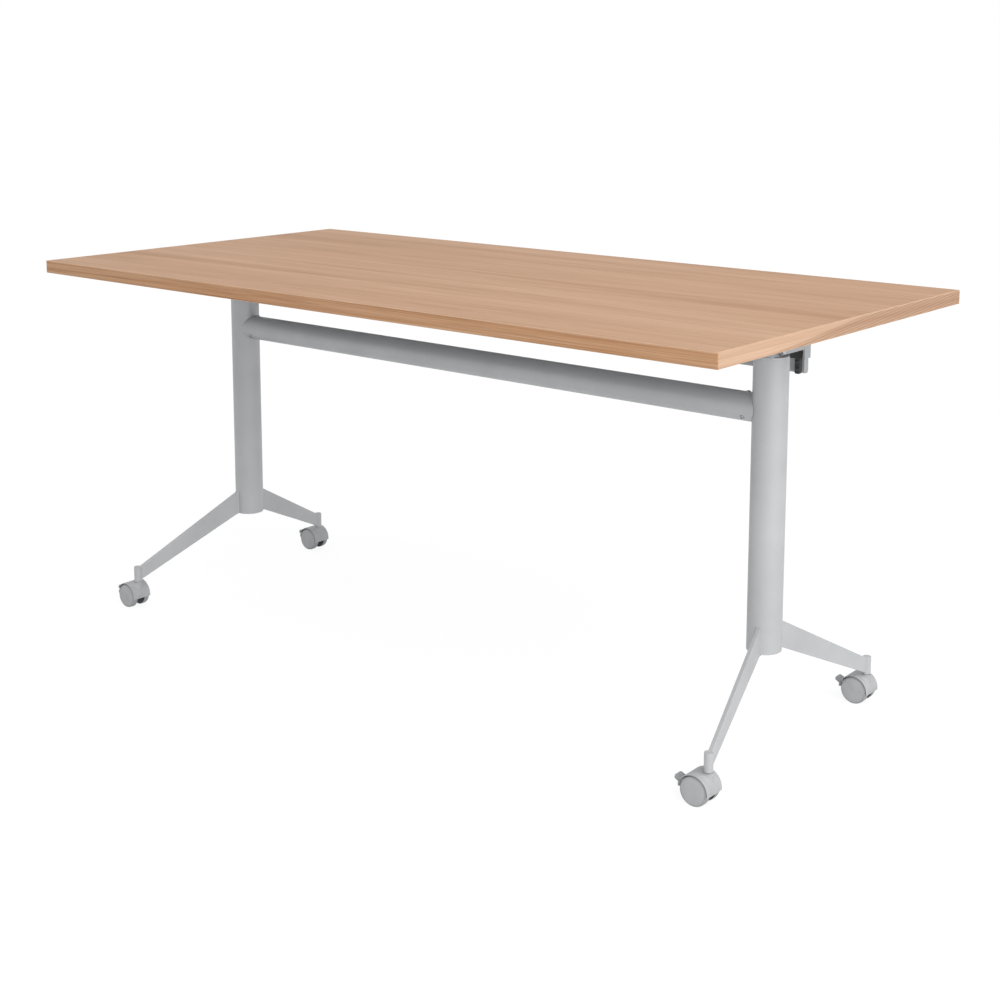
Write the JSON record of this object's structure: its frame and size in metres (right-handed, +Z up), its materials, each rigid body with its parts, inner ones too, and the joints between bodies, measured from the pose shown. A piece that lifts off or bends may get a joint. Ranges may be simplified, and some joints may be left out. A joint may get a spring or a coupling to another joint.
{
  "type": "flip top training table",
  "caption": "Rectangular wood-grain table top that tips up on two column legs with splayed feet, braked twin-wheel castors, a round beam and a bar that draws the lock bolts.",
  "frame": {"origin": "on the floor under the middle of the table top", "axes": "+X along the length, to the right of a person at the front edge, +Y from the front edge to the back, +Z up"},
  "size_m": [1.6, 0.8, 0.75],
  "materials": {
    "wood_face": "pale wood-grain laminate, satin",
    "wood_edge": "wood-grain edge strip, satin",
    "silver_paint": "silver powder coat, satin",
    "bracket_paint": "silver powder coat, satin",
    "bright_steel": "zinc-plated steel",
    "cast_aluminium": "die cast, as moulded",
    "bush_plastic": "natural nylon",
    "black_plastic": "moulded, fine texture",
    "grey_plastic": "moulded, fine texture",
    "wheel_plastic": "moulded, fine texture",
    "pedal_plastic": "moulded, fine texture"
  },
  "bodies": {
    "frame": {"column_left": "silver_paint", "column_plug_left": "grey_plastic", "pivot_head_left": "cast_aluminium", "pivot_bush_left": "bush_plastic", "beam_spigot_left": "silver_paint", "column_right": "silver_paint", "column_plug_right": "grey_plastic", "pivot_head_right": "cast_aluminium", "pivot_bush_right": "bush_plastic", "beam_spigot_right": "silver_paint", "beam": "silver_paint", "foot_front_left": "silver_paint", "castor_front_left_stem": "bright_steel", "foot_front_right": "silver_paint", "castor_front_right_stem": "bright_steel", "foot_back_left": "silver_paint", "castor_back_left_stem": "bright_steel", "foot_back_right": "silver_paint", "castor_back_right_stem": "bright_steel"},
    "top": {"table_top": "wood_face", "edge_band_front": "wood_edge", "edge_band_back": "wood_edge", "edge_band_left": "wood_edge", "edge_band_right": "wood_edge", "top_bracket_left": "bracket_paint", "hinge_pin_left": "bright_steel", "lever_pin_left": "bright_steel", "lock_spring_left": "bright_steel", "top_bracket_right": "bracket_paint", "hinge_pin_right": "bright_steel", "lever_pin_right": "bright_steel", "lock_spring_right": "bright_steel"},
    "release": {"release_bar": "silver_paint", "release_lever_left": "black_plastic", "release_bar_cap_left": "grey_plastic", "release_lever_right": "black_plastic", "release_bar_cap_right": "grey_plastic"},
    "lock_bolt_left": {"lock_bolt_left": "bright_steel"},
    "lock_bolt_right": {"lock_bolt_right": "bright_steel"},
    "castor_front_left": {"castor_front_left_housing": "grey_plastic", "castor_front_left_axle": "bright_steel"},
    "castor_front_left_wheel_front": {"castor_front_left_wheel_front": "wheel_plastic"},
    "castor_front_left_wheel_back": {"castor_front_left_wheel_back": "wheel_plastic"},
    "castor_front_left_brake": {"castor_front_left_brake": "pedal_plastic"},
    "castor_front_right": {"castor_front_right_housing": "grey_plastic", "castor_front_right_axle": "bright_steel"},
    "castor_front_right_wheel_front": {"castor_front_right_wheel_front": "wheel_plastic"},
    "castor_front_right_wheel_back": {"castor_front_right_wheel_back": "wheel_plastic"},
    "castor_front_right_brake": {"castor_front_right_brake": "pedal_plastic"},
    "castor_back_left": {"castor_back_left_housing": "grey_plastic", "castor_back_left_axle": "bright_steel"},
    "castor_back_left_wheel_front": {"castor_back_left_wheel_front": "wheel_plastic"},
    "castor_back_left_wheel_back": {"castor_back_left_wheel_back": "wheel_plastic"},
    "castor_back_left_brake": {"castor_back_left_brake": "pedal_plastic"},
    "castor_back_right": {"castor_back_right_housing": "grey_plastic", "castor_back_right_axle": "bright_steel"},
    "castor_back_right_wheel_front": {"castor_back_right_wheel_front": "wheel_plastic"},
    "castor_back_right_wheel_back": {"castor_back_right_wheel_back": "wheel_plastic"},
    "castor_back_right_brake": {"castor_back_right_brake": "pedal_plastic"}
  },
  "joints": [
    {"name": "flip_top", "type": "hinge", "parent": "frame", "child": "top", "pos_m": [0, 0, 0.685], "axis": [1, 0, 0], "range_deg": [0, 90]},
    {"name": "lock_release", "type": "hinge", "parent": "top", "child": "release", "pos_m": [0, 0.082, 0.71], "axis": [1, 0, 0], "range_deg": [-15, 0]},
    {"name": "lock_slide_left", "type": "slide", "parent": "top", "child": "lock_bolt_left", "axis": [0, 1, 0], "range_m": [-0.006, 0], "deforming": ["lock_spring_left"]},
    {"name": "lock_slide_right", "type": "slide", "parent": "top", "child": "lock_bolt_right", "axis": [0, 1, 0], "range_m": [-0.006, 0], "deforming": ["lock_spring_right"]},
    {"name": "swivel_front_left", "type": "hinge", "parent": "frame", "child": "castor_front_left", "pos_m": [-0.714, -0.264, 0.04], "axis": [0, 0, 1], "continuous": true},
    {"name": "wheel_front_left_front", "type": "hinge", "parent": "castor_front_left", "child": "castor_front_left_wheel_front", "pos_m": [-0.729, -0.279, 0.025], "axis": [0, 1, 0], "continuous": true},
    {"name": "wheel_front_left_back", "type": "hinge", "parent": "castor_front_left", "child": "castor_front_left_wheel_back", "pos_m": [-0.729, -0.249, 0.025], "axis": [0, 1, 0], "continuous": true},
    {"name": "pedal_front_left", "type": "hinge", "parent": "castor_front_left", "child": "castor_front_left_brake", "pos_m": [-0.742, -0.264, 0.037], "axis": [0, 1, 0], "range_deg": [-9, 0]},
    {"name": "swivel_front_right", "type": "hinge", "parent": "frame", "child": "castor_front_right", "pos_m": [0.714, -0.264, 0.04], "axis": [0, 0, 1], "continuous": true},
    {"name": "wheel_front_right_front", "type": "hinge", "parent": "castor_front_right", "child": "castor_front_right_wheel_front", "pos_m": [0.699, -0.279, 0.025], "axis": [0, 1, 0], "continuous": true},
    {"name": "wheel_front_right_back", "type": "hinge", "parent": "castor_front_right", "child": "castor_front_right_wheel_back", "pos_m": [0.699, -0.249, 0.025], "axis": [0, 1, 0], "continuous": true},
    {"name": "pedal_front_right", "type": "hinge", "parent": "castor_front_right", "child": "castor_front_right_brake", "pos_m": [0.686, -0.264, 0.037], "axis": [0, 1, 0], "range_deg": [-9, 0]},
    {"name": "swivel_back_left", "type": "hinge", "parent": "frame", "child": "castor_back_left", "pos_m": [-0.714, 0.264, 0.04], "axis": [0, 0, 1], "continuous": true},
    {"name": "wheel_back_left_front", "type": "hinge", "parent": "castor_back_left", "child": "castor_back_left_wheel_front", "pos_m": [-0.729, 0.249, 0.025], "axis": [0, 1, 0], "continuous": true},
    {"name": "wheel_back_left_back", "type": "hinge", "parent": "castor_back_left", "child": "castor_back_left_wheel_back", "pos_m": [-0.729, 0.279, 0.025], "axis": [0, 1, 0], "continuous": true},
    {"name": "pedal_back_left", "type": "hinge", "parent": "castor_back_left", "child": "castor_back_left_brake", "pos_m": [-0.742, 0.264, 0.037], "axis": [0, 1, 0], "range_deg": [-9, 0]},
    {"name": "swivel_back_right", "type": "hinge", "parent": "frame", "child": "castor_back_right", "pos_m": [0.714, 0.264, 0.04], "axis": [0, 0, 1], "continuous": true},
    {"name": "wheel_back_right_front", "type": "hinge", "parent": "castor_back_right", "child": "castor_back_right_wheel_front", "pos_m": [0.699, 0.249, 0.025], "axis": [0, 1, 0], "continuous": true},
    {"name": "wheel_back_right_back", "type": "hinge", "parent": "castor_back_right", "child": "castor_back_right_wheel_back", "pos_m": [0.699, 0.279, 0.025], "axis": [0, 1, 0], "continuous": true},
    {"name": "pedal_back_right", "type": "hinge", "parent": "castor_back_right", "child": "castor_back_right_brake", "pos_m": [0.686, 0.264, 0.037], "axis": [0, 1, 0], "range_deg": [-9, 0]}
  ],
  "couplings": [
    {"joint": "lock_slide_left", "follows": "lock_release", "m_per_rad": 0.0229},
    {"joint": "lock_slide_right", "follows": "lock_release", "m_per_rad": 0.0229}
  ]
}
